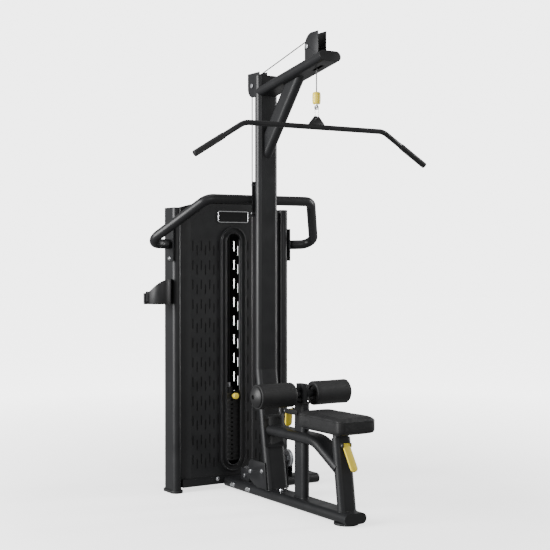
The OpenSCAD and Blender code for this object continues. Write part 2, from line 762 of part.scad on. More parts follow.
// Ears that carry the two paddles: short ones on the leg, long ones on the post's sides
module lever_brackets() color("#101011") place() {
    for (s = [-1, 1]) difference() {
        translate(lever_at_leg + [s * 22 - 3, -9, -9]) cube([6, 21.5, 18]);
        translate(lever_at_leg) rotate([0, 90, 0]) cylinder(r = lever_pin_r + 0.05, h = 60, center = true);
        seat_leg_solid();
    }
    for (s = [-1, 1]) difference() {
        translate([s * 24.4 - 1.7, post_y, lever_at_post[2] - 12])
            cube([3.4, lever_at_post[1] - post_y + 11, 24]);
        translate(lever_at_post) rotate([0, 90, 0]) cylinder(r = lever_pin_r + 0.05, h = 60, center = true);
    }
}

// ---------- thigh hold-down ----------

module roller_post() color(paint) place() difference() {
    translate([0, post_y, rail_top - 8]) rotate([0, 0, 90]) oval_tube(90, 45, post_len + 8);
    rail_solid();
}

module post_collar() color("#0f0f10") place() translate([0, post_y, post_top_z]) rotate(90) difference() {
    union() {
        translate([0, 0, 0.2]) linear_extrude(10) oval2d(94, 49);
        translate([0, 0, -60]) linear_extrude(60.2) oval2d(83.6, 38.6);
    }
    translate([0, 0, -61]) linear_extrude(80) oval2d(70.8, 35.8);
}

module roller_slide_tube() color("#232427") place() difference() {
    translate([0, post_y, 330]) rotate([0, 0, 90]) oval_tube(70, 35, 603 - 330);
    x_rod(post_y, roller_z, roller_axle_r + 0.05, -40, 40);
    for (z = [350 : 25 : 475]) translate([0, post_y + 50, z]) rotate([90, 0, 0]) cylinder(r = 5, h = 100);
}

roller_axle_r = 10;
roller_in = 57;                       // inner end of a roller
roller_dome = 22;                     // height of its domed outer end

module roller_axle() color("#141415") place() {
    x_rod(post_y, roller_z, roller_axle_r, -262, 262);
    // collars beside the post
    for (x = [-52, 19]) x_rod(post_y, roller_z, 19, x, x + 33);
}

module foam_roller(s) translate([s * roller_in, post_y, roller_z]) rotate([0, s * 90, 0]) rotate_extrude() {
    r = roller_d / 2;
    bore = roller_axle_r + 0.3;
    dome_r = (r * r + roller_dome * roller_dome) / (2 * roller_dome);
    translate([bore, 0]) square([r - 8 - bore, 9]);
    translate([bore, 8]) square([r - bore, roller_len - roller_dome - 8]);
    intersection() {
        translate([r - 8, 8]) circle(r = 8);
        translate([bore, 0]) square([r - bore, 9]);
    }
    intersection() {
        translate([0, roller_len - dome_r]) circle(r = dome_r);
        translate([bore, roller_len - roller_dome - 1]) square([r - bore, roller_dome + 2]);
    }
}

module foam_roller_left() color("#1b1b1c") place() foam_roller(-1);
module foam_roller_right() color("#1b1b1c") place() foam_roller(1);

module roller_lever() color("#e3c61c") place() translate(lever_at_post) paddle(4, 84);

// ---------- right side foot and its pulley ----------

module stabiliser_tube() color(paint) place() difference() {
    translate([0, foot_beam_y, tube_t / 2]) rotate([0, 90, 0]) rotate([0, 0, 90])
        oval_tube(tube_w, tube_t, stabiliser_len);
    rail_solid();
    translate([-100, 180, -20]) cube([140, 200, 120]);
}

module side_bracket() difference() {
    for (x = [side_pulley_x - 19, side_pulley_x + 15]) x_plate(x, x + 4)
        translate([side_axle_y - 20, tube_t]) square([60, side_axle_z - tube_t + 20]);
    x_rod(side_axle_y, side_axle_z, axle_hole_r, side_pulley_x - 28, side_pulley_x + 32);
}

// ---------- fasteners ----------

module bolt_at(p, turn) translate(p) rotate(turn) bolt_head();

module frame_bolts() color("#c9ccd0") place() {
    // foot gussets, and the rail's splice, left and right
    for (s = [-1, 1], p = gusset_bolts) bolt_at([s * (gusset_in + gusset_t), p[0], p[1]], [0, s * 90, 0]);
    for (s = [-1, 1], y = [70, 88, 222, 240]) bolt_at([s * tube_w / 2, y, rail_z], [0, s * 90, 0]);
    // column bracket of the handle
    for (p = plate_bolts) bolt_at([p[0], tube_t / 2 + handle_plate_t + 0.5, p[1]], [-90, 0, 0]);
    // handle side plates
    for (s = [-1, 1], z = [1200, 1344]) bolt_at([s * mount_face_x, 361, z], [0, s * 90, 0]);
    // rail to tower: on the beam's front, and on the rail's top
    for (x = [-94, 94]) bolt_at([x, tower_front, 54], [90, 0, 0]);
    bolt_at([0, -140, rail_top], [0, 0, 0]);
}

base_rail();
column();
overhead_arm();
arm_brace();
tube_end_caps();
front_pulley_bracket();
rear_pulley_bracket();
front_top_pulley();
rear_top_pulley();
axles_and_pins();
main_cable();
bar_cable();
stack_cable();
cable_stopper();
swivel_eye();
carabiner();
bar_lugs();
lat_bar();
bar_grips();
tower_posts();
tower_cross_beams();
front_panel();
panel_liner();
window_rim();
badge_plate();
rear_panel();
tower_feet();
weight_plates();
head_plate();
selector_rod();
selector_pin();
guide_rods();
stack_bumpers();
tower_top_pulley();
tower_base_pulley();
floor_pulley();
pulley_brackets();
foot_gussets();
handle_bar();
handle_mounts();
accessory_hook();
front_foot();
seat_leg();
seat_rail();
rail_flange();
seat_slide_tube();
seat_plate();
seat_pad();
seat_lever();
lever_brackets();
roller_post();
post_collar();
roller_slide_tube();
roller_axle();
foam_roller_left();
foam_roller_right();
roller_lever();
stabiliser_tube();
side_pulley();
frame_bolts();
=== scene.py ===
"""Looks of the lat pulldown machine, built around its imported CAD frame."""
import json
import math

import bmesh
import bpy
from mathutils import Matrix, Vector
from mathutils.bvhtree import BVHTree


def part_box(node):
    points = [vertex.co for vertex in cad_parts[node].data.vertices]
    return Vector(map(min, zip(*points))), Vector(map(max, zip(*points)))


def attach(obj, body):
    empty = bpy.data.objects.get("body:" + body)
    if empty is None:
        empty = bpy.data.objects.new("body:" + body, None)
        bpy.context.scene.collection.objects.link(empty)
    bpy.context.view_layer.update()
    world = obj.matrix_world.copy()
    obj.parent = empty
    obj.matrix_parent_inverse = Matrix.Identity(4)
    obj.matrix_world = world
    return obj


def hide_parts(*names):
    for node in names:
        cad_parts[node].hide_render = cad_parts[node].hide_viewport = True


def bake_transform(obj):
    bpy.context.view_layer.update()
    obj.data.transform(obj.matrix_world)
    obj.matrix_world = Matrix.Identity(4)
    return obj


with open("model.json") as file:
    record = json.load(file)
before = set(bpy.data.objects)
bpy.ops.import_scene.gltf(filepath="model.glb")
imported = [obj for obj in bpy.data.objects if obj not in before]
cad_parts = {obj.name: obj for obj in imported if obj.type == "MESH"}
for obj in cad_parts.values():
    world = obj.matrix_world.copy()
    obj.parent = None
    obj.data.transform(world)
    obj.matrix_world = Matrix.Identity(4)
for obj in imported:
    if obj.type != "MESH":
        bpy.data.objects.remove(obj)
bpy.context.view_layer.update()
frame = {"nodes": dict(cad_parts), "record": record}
SCENE = bpy.context.scene
X_AXIS = Vector((1, 0, 0))
Y_AXIS = Vector((0, 1, 0))
Z_AXIS = Vector((0, 0, 1))
CABLE_RADIUS = 0.003


# ---------------------------------------------------------------- materials

class Nodes:
    """A material's node tree with short ways to add what is used here."""

    def __init__(self, name):
        self.material = bpy.data.materials.new(name)
        self.material.use_nodes = True
        self.tree = self.material.node_tree
        self.shader = self.tree.nodes["Principled BSDF"]
        self.coords = self.tree.nodes.new("ShaderNodeTexCoord").outputs["Object"]

    def link(self, source, target):
        self.tree.links.new(source, target)

    def stretched(self, scale):
        mapping = self.tree.nodes.new("ShaderNodeMapping")
        mapping.inputs["Scale"].default_value = scale
        self.link(self.coords, mapping.inputs["Vector"])
        return mapping.outputs["Vector"]

    def noise(self, scale, detail=3.0, vector=None):
        node = self.tree.nodes.new("ShaderNodeTexNoise")
        node.inputs["Scale"].default_value = scale
        node.inputs["Detail"].default_value = detail
        self.link(vector or self.coords, node.inputs["Vector"])
        return node.outputs["Fac"]

    def cells(self, scale, feature="DISTANCE_TO_EDGE"):
        node = self.tree.nodes.new("ShaderNodeTexVoronoi")
        node.feature = feature
        node.inputs["Scale"].default_value = scale
        self.link(self.coords, node.inputs["Vector"])
        return node.outputs["Distance"]

    def spread(self, value, low, high, start=0.3, stop=0.7):
        node = self.tree.nodes.new("ShaderNodeMapRange")
        node.inputs["From Min"].default_value = start
        node.inputs["From Max"].default_value = stop
        node.inputs["To Min"].default_value = low
        node.inputs["To Max"].default_value = high
        self.link(value, node.inputs["Value"])
        return node.outputs["Result"]

    def colour(self, value, dark, light, start=0.35, stop=0.65):
        ramp = self.tree.nodes.new("ShaderNodeValToRGB")
        ramp.color_ramp.elements[0].position = start
        ramp.color_ramp.elements[1].position = stop
        ramp.color_ramp.elements[0].color = (*dark, 1)
        ramp.color_ramp.elements[1].color = (*light, 1)
        self.link(value, ramp.inputs["Fac"])
        self.link(ramp.outputs["Color"], self.shader.inputs["Base Color"])

    def rough(self, value, low, high):
        self.link(self.spread(value, low, high), self.shader.inputs["Roughness"])

    def bump(self, layers):
        """Stacks (height, strength, distance in metres), the coarsest first."""
        normal = None
        for height, strength, distance in layers:
            node = self.tree.nodes.new("ShaderNodeBump")
            node.inputs["Strength"].default_value = strength
            node.inputs["Distance"].default_value = distance
            self.link(height, node.inputs["Height"])
            if normal:
                self.link(normal, node.inputs["Normal"])
            normal = node.outputs["Normal"]
        self.link(normal, self.shader.inputs["Normal"])

    def fixed(self, **values):
        for key, value in values.items():
            self.shader.inputs[key.replace("_", " ")].default_value = value


def shade(colour, factor):
    return tuple(c * factor for c in colour)


def powder_coat(name, colour, low=0.34, high=0.46, peel=420):
    """Satin powder coat: orange peel, fine grit and faint changes of gloss."""
    n = Nodes(name)
    n.colour(n.noise(6, 4), shade(colour, 0.88), shade(colour, 1.12))
    n.rough(n.noise(14, 5), low, high)
    n.bump([(n.noise(peel, 2), 0.22, 0.0004), (n.noise(peel * 5, 1), 0.12, 0.0001)])
    n.fixed(Specular_IOR_Level=0.32)
    return n.material


def moulded(name, colour, low, high, grain=700, coat=0.0):
    """Injection moulded plastic or rubber with a fine spark texture."""
    n = Nodes(name)
    n.colour(n.noise(9, 3), shade(colour, 0.92), shade(colour, 1.08))
    n.rough(n.noise(25, 4), low, high)
    n.bump([(n.noise(grain, 2), 0.15, 0.0003)])
    n.fixed(Coat_Weight=coat, Coat_Roughness=0.12, Specular_IOR_Level=0.35)
    return n.material


def bare_metal(name, colour, low, high, stretch=(1, 1, 1), lines=300):
    """Turned or plated metal: a fine grain, drawn into lines where an axis is stretched."""
    n = Nodes(name)
    vector = n.stretched(stretch)
    n.colour(n.noise(30, 3), shade(colour, 0.9), colour)
    n.rough(n.noise(lines, 4, vector), low, high)
    n.bump([(n.noise(lines, 3, vector), 0.12, 0.0002)])
    n.fixed(Metallic=1.0)
    return n.material


def vinyl(name, colour):
    """Upholstery vinyl: pebbled grain over soft undulation."""
    n = Nodes(name)
    n.colour(n.noise(12, 4), shade(colour, 0.85), shade(colour, 1.2))
    n.rough(n.noise(60, 4), 0.42, 0.56)
    pebble = n.spread(n.cells(620), 0.0, 1.0, 0.0, 0.25)
    n.bump([(n.noise(28, 3), 0.25, 0.002), (pebble, 0.3, 0.0005), (n.noise(1500, 2), 0.15, 0.0001)])
    n.fixed(Specular_IOR_Level=0.3)
    return n.material


def foam_skin(name, colour):
    """Closed-cell foam with a dipped skin: tiny pores, faint dents."""
    n = Nodes(name)
    n.colour(n.noise(16, 5), shade(colour, 0.85), shade(colour, 1.15))
    n.rough(n.noise(40, 4), 0.46, 0.6)
    pores = n.spread(n.cells(900, "F1"), 0.0, 1.0, 0.05, 0.4)
    n.bump([(n.noise(22, 3), 0.3, 0.0025), (pores, 0.25, 0.0003)])
    n.fixed(Specular_IOR_Level=0.3)
    return n.material


def cast_plate(name, colour):
    """Machined and painted iron: a sand texture, coarse and fine."""
    n = Nodes(name)
    n.colour(n.noise(22, 6), shade(colour, 0.75), shade(colour, 1.3))
    n.rough(n.noise(35, 5), 0.45, 0.65)
    n.bump([(n.noise(170, 4), 0.3, 0.0006), (n.noise(900, 2), 0.2, 0.0002)])
    return n.material


def cable_jacket(name, colour):
    """Smooth nylon jacket, faintly uneven from the wire rope inside."""
    n = Nodes(name)
    n.colour(n.noise(40, 2), shade(colour, 0.9), shade(colour, 1.3))
    n.rough(n.noise(80, 3), 0.28, 0.4)
    n.bump([(n.noise(260, 2), 0.2, 0.0003)])
    n.fixed(Coat_Weight=0.2, Coat_Roughness=0.15)
    return n.material


BLACK = (0.0105, 0.0108, 0.0118)
MATERIALS = {
    "black_powder": powder_coat("black_powder", BLACK),
    "panel_paint": powder_coat("panel_paint", (0.0125, 0.0128, 0.0136), 0.42, 0.54, 600),
    "black_plastic": moulded("black_plastic", (0.009, 0.009, 0.0095), 0.42, 0.55),
    "pulley_alloy": bare_metal("pulley_alloy", (0.66, 0.67, 0.69), 0.22, 0.36, (1, 1, 1), 500),
    "zinc_steel": bare_metal("zinc_steel", (0.74, 0.75, 0.77), 0.2, 0.34, (1, 1, 1), 260),
    "bright_link": bare_metal("bright_link", (0.86, 0.86, 0.87), 0.16, 0.26, (1, 1, 1), 200),
    "chrome": bare_metal("chrome", (0.8, 0.8, 0.82), 0.05, 0.1, (1, 1, 0.05), 300),
    "cable_jacket": cable_jacket("cable_jacket", (0.011, 0.011, 0.012)),
    "yellow_plastic": moulded("yellow_plastic", (0.80, 0.62, 0.05), 0.3, 0.42, 500, 0.25),
    "badge": moulded("badge", (0.004, 0.004, 0.0045), 0.3, 0.38, 300),
    "grip_rubber": moulded("grip_rubber", (0.0085, 0.0085, 0.009), 0.5, 0.62, 380),
    "foot_rubber": moulded("foot_rubber", (0.009, 0.009, 0.0095), 0.55, 0.7, 450),
    "iron_plate": cast_plate("iron_plate", (0.012, 0.012, 0.0125)),
    "black_vinyl": vinyl("black_vinyl", (0.0115, 0.0115, 0.012)),
    "black_foam": foam_skin("black_foam", (0.013, 0.013, 0.0135)),
}
SLOT_OF = {row["node"]: row["material_slot"] for row in frame["record"]["subparts"]}
BODY_OF = {n: b for b, ns in frame["record"]["behaviour"]["bodies"].items() for n in ns}


def paint(piece, slot):
    piece.data.materials.clear()
    piece.data.materials.append(MATERIALS[slot])


# ---------------------------------------------------------------- mesh tools

def new_piece(name, bm, slot, body, smooth=True):
    """Closes a bmesh into an object with a slot's finish, riding on a body if one is named."""
    mesh = bpy.data.meshes.new(name)
    bmesh.ops.recalc_face_normals(bm, faces=bm.faces)
    for face in bm.faces:
        face.smooth = smooth
    bm.to_mesh(mesh)
    bm.free()
    piece = bpy.data.objects.new(name, mesh)
    SCENE.collection.objects.link(piece)
    paint(piece, slot)
    if body:
        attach(piece, body)
    return piece


def modify(piece, kind, **settings):
    """Adds one modifier and applies it at once."""
    modifier = piece.modifiers.new(kind.lower(), kind)
    for key, value in settings.items():
        setattr(modifier, key, value)
    bpy.context.view_layer.objects.active = piece
    bpy.ops.object.select_all(action="DESELECT")
    piece.select_set(True)
    bpy.ops.object.modifier_apply(modifier=modifier.name)


def soften(node, width):
    """Copies a CAD node and rounds its sharp edges, so that they catch the light."""
    source = frame["nodes"][node]
    angle = math.radians(32)
    bm = bmesh.new()
    bm.from_mesh(source.data)
    bmesh.ops.remove_doubles(bm, verts=bm.verts, dist=1e-5)
    bmesh.ops.dissolve_limit(bm, angle_limit=math.radians(0.6), verts=bm.verts, edges=bm.edges)
    piece = new_piece(node + "_finish", bm, SLOT_OF[node], BODY_OF[node])
    modify(piece, "BEVEL", width=width, segments=2, limit_method="ANGLE",
           angle_limit=angle, use_clamp_overlap=True, harden_normals=False)
    piece.data.set_sharp_from_angle(angle=angle)
    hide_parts(node)


def rounded_path(points, radius, steps):
    """A polyline with each inner corner turned into an arc of the given radius."""
    points = [Vector(p) for p in points]
    path = [points[0]]
    for before, corner, after in zip(points, points[1:], points[2:]):
        a = (before - corner).normalized()
        b = (after - corner).normalized()
        half = a.angle(b) / 2
        reach = min(radius / math.tan(half), 0.49 * min((before - corner).length, (after - corner).length))
        r = reach * math.tan(half)
        centre = corner + (a + b).normalized() * (r / math.sin(half))
        start, stop = corner + a * reach - centre, corner + b * reach - centre
        for i in range(steps + 1):
            path.append(centre + start.slerp(stop, i / steps).normalized() * r)
    path.append(points[-1])
    return path


def ring_frames(path, up, closed=False):
    """Tangent, side and normal at each point of a path, without twist about up."""
    frames = []
    count = len(path)
    for i, p in enumerate(path):
        after = path[(i + 1) % count] if closed or i + 1 < count else p
        before = path[i - 1] if closed or i else p
        tangent = (after - before).normalized()
        side = tangent.cross(up)
        side = side.normalized() if side.length > 1e-6 else X_AXIS.copy()
        frames.append((p, tangent, side, side.cross(tangent).normalized()))
    return frames


def sweep(bm, path, outline, up, closed=False, scale=None):
    """Sweeps a 2D outline, given as (side, normal) pairs, along a path."""
    rings = []
    for i, (p, _, side, normal) in enumerate(ring_frames(path, up, closed)):
        k = scale(i / (len(path) - 1)) if scale else 1.0
        rings.append([bm.verts.new(p + side * a * k + normal * b * k) for a, b in outline])
    count = len(outline)
    pairs = list(zip(rings, rings[1:])) + ([(rings[-1], rings[0])] if closed else [])
    for first, second in pairs:
        for i in range(count):
            j = (i + 1) % count
            bm.faces.new((first[i], first[j], second[j], second[i]))
    if not closed:
        bm.faces.new(list(reversed(rings[0])))
        bm.faces.new(rings[-1])


def circle(radius, count):
    return [(radius * math.cos(2 * math.pi * i / count), radius * math.sin(2 * math.pi * i / count))
            for i in range(count)]


def stadium(width, height, steps):
    """Flat-oval outline, width along the first axis."""
    r = height / 2
    half = width / 2 - r
    points = []
    for centre, begin in ((half, -90), (-half, 90)):
        for i in range(steps + 1):
            a = math.radians(begin + 180 * i / steps)
            points.append((centre + r * math.cos(a), r * math.sin(a)))
    return points


def join_rings(bm, rings):
    """Faces between neighbouring rings of points, where a ring of one point is a pole."""
    for first, second in zip(rings, rings[1:]):
        count = max(len(first), len(second))
        for i in range(count):
            j = (i + 1) % count
            if len(first) == 1:
                bm.faces.new((first[0], second[i], second[j]))
            elif len(second) == 1:
                bm.faces.new((first[i], first[j], second[0]))
            else:
                bm.faces.new((first[i], first[j], second[j], second[i]))


def lathed(name, profile, centre, steps, slot, body):
    """A piece turned about the X axis through centre, from (along x, radius) pairs."""
    bm = bmesh.new()
    rings = []
    for x, r in profile:
        if r < 1e-6:
            rings.append([bm.verts.new(centre + Vector((x, 0, 0)))])
            continue
        rings.append([bm.verts.new(centre + Vector((x, r * math.cos(a), r * math.sin(a))))
                      for a in (2 * math.pi * i / steps for i in range(steps))])
    join_rings(bm, rings)
    piece = new_piece(name, bm, slot, body)
    piece.data.set_sharp_from_angle(angle=math.radians(50))
    return piece


def arc_points(cx, cy, r, begin, end, steps):
    return [(cx + r * math.cos(math.radians(begin + (end - begin) * i / steps)),
             cy + r * math.sin(math.radians(begin + (end - begin) * i / steps))) for i in range(steps + 1)]


# ---------------------------------------------------------------- swept tubes

def handle_bar():
    """Shoulder handle: one bent tube that passes behind the column and bends back on both sides."""
    low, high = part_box("handle_bar")
    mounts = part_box("handle_mounts")
    drop = 0.2208
    radius = (high.z - low.z - drop) / 2
    swell = 0.0004
    top, floor = high.z - radius, low.z + radius + swell
    y_top, side = low.y + radius + swell, high.x - radius - swell
    shoulder_x, corner_run, end_run = 0.305, 0.263, 0.308
    lap = 0.002
    corner = Vector((side, y_top + corner_run, floor + 0.004))
    end = Vector((mounts[1].x - lap, y_top + end_run, floor))
    half = [Vector((shoulder_x, y_top, top)), corner, end]
    left = [Vector((-p.x, p.y, p.z)) for p in reversed(half)]
    bm = bmesh.new()
    bend = 0.062
    sweep(bm, rounded_path(left + half, bend, 10), circle(radius, 36), up=Z_AXIS)
    new_piece("handle_bar_tube", bm, "black_powder", "frame")
    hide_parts("handle_bar")


def seat_rail():
    """Flat-oval rail from the column's flange down to the seat leg, with a smooth bend."""
    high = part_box("seat_rail")[1]
    width, thickness = 0.104, 0.05
    top = high.z - 0.02515
    slope, run, bend_y, bend_radius = math.radians(28.5), 0.194, -0.3148, 0.20
    bend = Vector((0, bend_y, top))
    foot = bend + Vector((0, -run, -run * math.tan(slope)))
    path = [(0, high.y - 0.002, top), bend, foot]
    bm = bmesh.new()
    sweep(bm, rounded_path(path, bend_radius, 14), stadium(width, thickness, 16), up=Z_AXIS)
    piece = new_piece("seat_rail_tube", bm, "black_powder", "frame")
    piece.data.set_sharp_from_angle(angle=math.radians(40))
    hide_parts("seat_rail")


def lat_bar():
    """Pull bar: straight middle, drooping ends, ribbed rubber grips."""
    low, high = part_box("lat_bar")
    y = (low.y + high.y) / 2
    radius = 0.0125
    top = high.z - radius
    droop = math.radians(31)
    elbow = 0.390
    length = 0.296
    tip = (elbow + length * math.cos(droop), y, top - length * math.sin(droop))
    path = [(-tip[0], y, tip[2]), (-elbow, y, top), (elbow, y, top), tip]
    bm = bmesh.new()
    bend = 0.09
    sweep(bm, rounded_path(path, bend, 12), circle(radius, 28), up=Y_AXIS)
    piece = new_piece("lat_bar_tube", bm, "black_powder", "pull_bar")
    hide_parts("lat_bar")
    sleeve, past_end, wall, rings = 0.17, 0.0025, 0.0023, 96
    for sign, name in ((-1, "grip_left"), (1, "grip_right")):
        end = Vector((sign * tip[0], y, tip[2]))
        along = Vector((sign * math.cos(droop), 0, -math.sin(droop)))
        start = end - along * sleeve
        points = [start + along * ((sleeve + past_end) * i / rings) for i in range(rings + 1)]

        def ribs(t):
            """Rounded ends and shallow ribs along the sleeve."""
            cap = min(1.0, (min(t, 1 - t) * 34 + 0.80))
            return cap * (1 + 0.016 * math.cos(t * 2 * math.pi * 24))

        bm = bmesh.new()
        sweep(bm, points, circle(radius + wall, 32), up=Y_AXIS, scale=ribs)
        grip = new_piece(name, bm, "grip_rubber", "pull_bar")
        if sign < 0:
            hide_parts("bar_grips")


def cables():
    """The two cable stretches that lengthen and shorten in use, each swept straight up the middle of its
    CAD node's box.
    """
    for node, body in (("bar_cable", "pull_hook"), ("stack_cable", "stack_carriage")):
        low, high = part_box(node)
        x, y = (low.x + high.x) / 2, (low.y + high.y) / 2
        rings = 120
        path = [Vector((x, y, low.z + (high.z - low.z) * i / rings)) for i in range(rings + 1)]
        bm = bmesh.new()
        sweep(bm, path, circle(CABLE_RADIUS, 16), up=Y_AXIS)
        piece = new_piece(node + "_stretch", bm, "cable_jacket", None)
        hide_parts(node)
        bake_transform(piece)


# ---------------------------------------------------------------- tower trim

def stadium_path(width, low_z, high_z, y, steps=18):
    """Upright stadium of the given width between two heights, facing -Y."""
    r = width / 2
    points = []
    for centre, begin in ((high_z - r, 0), (low_z + r, 180)):
        for i in range(steps + 1):
            a = math.radians(begin + 180 * i / steps)
            points.append(Vector((r * math.cos(a), y, centre + r * math.sin(a))))
    return points


def window_rim():
    """Moulded surround: an inner and an outer bead with a sunk land between them."""
    low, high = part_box("window_rim")
    # width of the loop that the profile runs along
    middle = 0.116
    span = (middle - (high.x - low.x)) / 2
    path = stadium_path(middle, low.z - span, high.z + span, high.y)
    # (outward from the middle line, forward) in metres
    profile = [(-0.019, 0.0), (-0.019, 0.006)]
    profile += arc_points(-0.0145, 0.0065, 0.0045, 180, 0, 8)
    profile += [(-0.008, 0.0040), (0.006, 0.0040)]
    profile += arc_points(0.0130, 0.0040, 0.0055, 180, 0, 8)
    profile += [(0.0190, 0.0)]
    bm = bmesh.new()
    sweep(bm, path, profile, up=-Y_AXIS, closed=True)
    piece = new_piece("window_surround", bm, "black_powder", "frame")
    piece.data.set_sharp_from_angle(angle=math.radians(50))
    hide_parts("window_rim")


def badge():
    """A blank plate with a bright raised border, and no mark of any kind."""
    low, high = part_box("badge_plate")
    centre = (low + high) / 2
    half_w, half_h = (high.x - low.x) / 2, (high.z - low.z) / 2
    corner, inset, thickness, border_radius = 0.009, 0.004, 0.0028, 0.0024
    outline = []
    for sx, sz, begin in ((1, 1, 0), (-1, 1, 90), (-1, -1, 180), (1, -1, 270)):
        arc = arc_points(sx * (half_w - corner), sz * (half_h - corner), corner, begin, begin + 90, 6)
        outline += [Vector((centre.x + a, high.y, centre.z + b)) for a, b in arc]
    inner = [Vector((centre.x + (p.x - centre.x) * (1 - inset / half_w), high.y,
                     centre.z + (p.z - centre.z) * (1 - inset / half_h))) for p in outline]
    bm = bmesh.new()
    back = [bm.verts.new(p) for p in inner]
    front = [bm.verts.new(p - Y_AXIS * thickness) for p in inner]
    bm.faces.new(back)
    bm.faces.new(list(reversed(front)))
    for i in range(len(back)):
        j = (i + 1) % len(back)
        bm.faces.new((back[i], back[j], front[j], front[i]))
    plate = new_piece("badge_blank", bm, "badge", "frame", smooth=False)
    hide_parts("badge_plate")
    bm = bmesh.new()
    border = [p - Y_AXIS * border_radius for p in inner]
    sweep(bm, border, circle(border_radius, 12), up=Y_AXIS, closed=True)
    new_piece("badge_border", bm, "zinc_steel", "frame")


# ---------------------------------------------------------------- soft goods

def rounded_loop(points, radius, steps):
    """A closed polygon with every corner turned into an arc."""
    wrapped = [points[-1], *points, points[0]]
    return rounded_path(wrapped, radius, steps)[1:-1]


def pad_outline(inset, corner=0.03, steps=8):
    """Seat outline from above: a trapezoid with round corners, wider in front."""
    low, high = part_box("seat_pad")
    front, back = low.y + inset, high.y - inset
    half_front = (high.x - low.x) / 2 - inset
    half_back = half_front - 0.016
    corners = [(-half_front, front), (half_front, front), (half_back, back), (-half_back, back)]
    return rounded_loop([Vector((x, y, 0)) for x, y in corners], corner, steps)


def seat_pad():
    """Upholstered cushion: crowned, with round corners and a piped seam."""
    low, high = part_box("seat_pad")
    inset = 0.005
    outline = pad_outline(inset)
    centre = sum(outline, Vector()) / len(outline)
    floor, top = low.z + 0.001, high.z - 0.012
    # (share of the outline, height)
    levels = [(0.0, floor), (0.6, floor), (0.93, floor), (0.985, floor + 0.004), (1.0, floor + 0.012),
              (1.0, (floor + top) / 2), (1.0, top - 0.010), (0.985, top - 0.002), (0.94, top + 0.001),
              (0.7, top + 0.004), (0.35, top + 0.006), (0.0, top + 0.0065)]
    bm = bmesh.new()
    rings = []
    for share, z in levels:
        if share == 0:
            rings.append([bm.verts.new(Vector((centre.x, centre.y, z)))])
        else:
            rings.append([bm.verts.new(Vector((centre.x + (p.x - centre.x) * share,
                                               centre.y + (p.y - centre.y) * share, z))) for p in outline])
    join_rings(bm, rings)
    pad = new_piece("seat_cushion", bm, "black_vinyl", "seat")
    modify(pad, "REMESH", mode="VOXEL", voxel_size=0.006)
    inflate(pad, pressure=4.0, limit=0.007, floor=low.z + 0.0005, ceiling=high.z)
    modify(pad, "SUBSURF", levels=1)
    for polygon in pad.data.polygons:
        polygon.use_smooth = True
    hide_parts("seat_pad")
    piping(pad, top - 0.009)


def inflate(piece, pressure, limit, floor, ceiling):
    """Cloth under inner pressure, with the move of each point capped."""
    rest = [v.co.copy() for v in piece.data.vertices]
    cloth = piece.modifiers.new("cloth", "CLOTH")
    cloth.settings.use_pressure = True
    cloth.settings.uniform_pressure_force = pressure
    cloth.settings.effector_weights.gravity = 0
    cloth.settings.quality = 5
    cloth.point_cache.frame_start = 1
    cloth.point_cache.frame_end = 20
    for step in range(1, 21):
        SCENE.frame_set(step)
    bpy.context.view_layer.objects.active = piece
    bpy.ops.object.select_all(action="DESELECT")
    piece.select_set(True)
    bpy.ops.object.modifier_apply(modifier="cloth")
    SCENE.frame_set(1)
    for vertex, start in zip(piece.data.vertices, rest):
        move = vertex.co - start
        if move.length > limit:
            vertex.co = start + move.normalized() * limit
        vertex.co.z = min(max(vertex.co.z, floor), ceiling)


def piping(pad, height):
    """A thin welt along the cushion's upper seam, laid on the finished surface."""
    spacing, reach, radius = 0.012, 0.05, 0.0021
    tree = BVHTree.FromPolygons([v.co for v in pad.data.vertices],
                                [p.vertices[:] for p in pad.data.polygons])
    outline = pad_outline(0.0, 0.034, 14)
    centre = sum(outline, Vector()) / len(outline)
    path = []
    for i, p in enumerate(outline):
        q = outline[(i + 1) % len(outline)]
        gap = (q - p).length
        parts = max(1, int(gap / spacing))
        for k in range(parts):
            point = p.lerp(q, k / parts)
            origin = Vector((point.x, point.y, height)) + (point - centre).normalized() * reach
            aim = Vector((centre.x, centre.y, height)) - origin
            hit = tree.ray_cast(origin, aim.normalized())[0]
            if hit is not None:
                path.append(hit)
    bm = bmesh.new()
    sweep(bm, path, circle(radius, 10), up=Z_AXIS, closed=True)
    new_piece("seat_piping", bm, "black_vinyl", "seat")


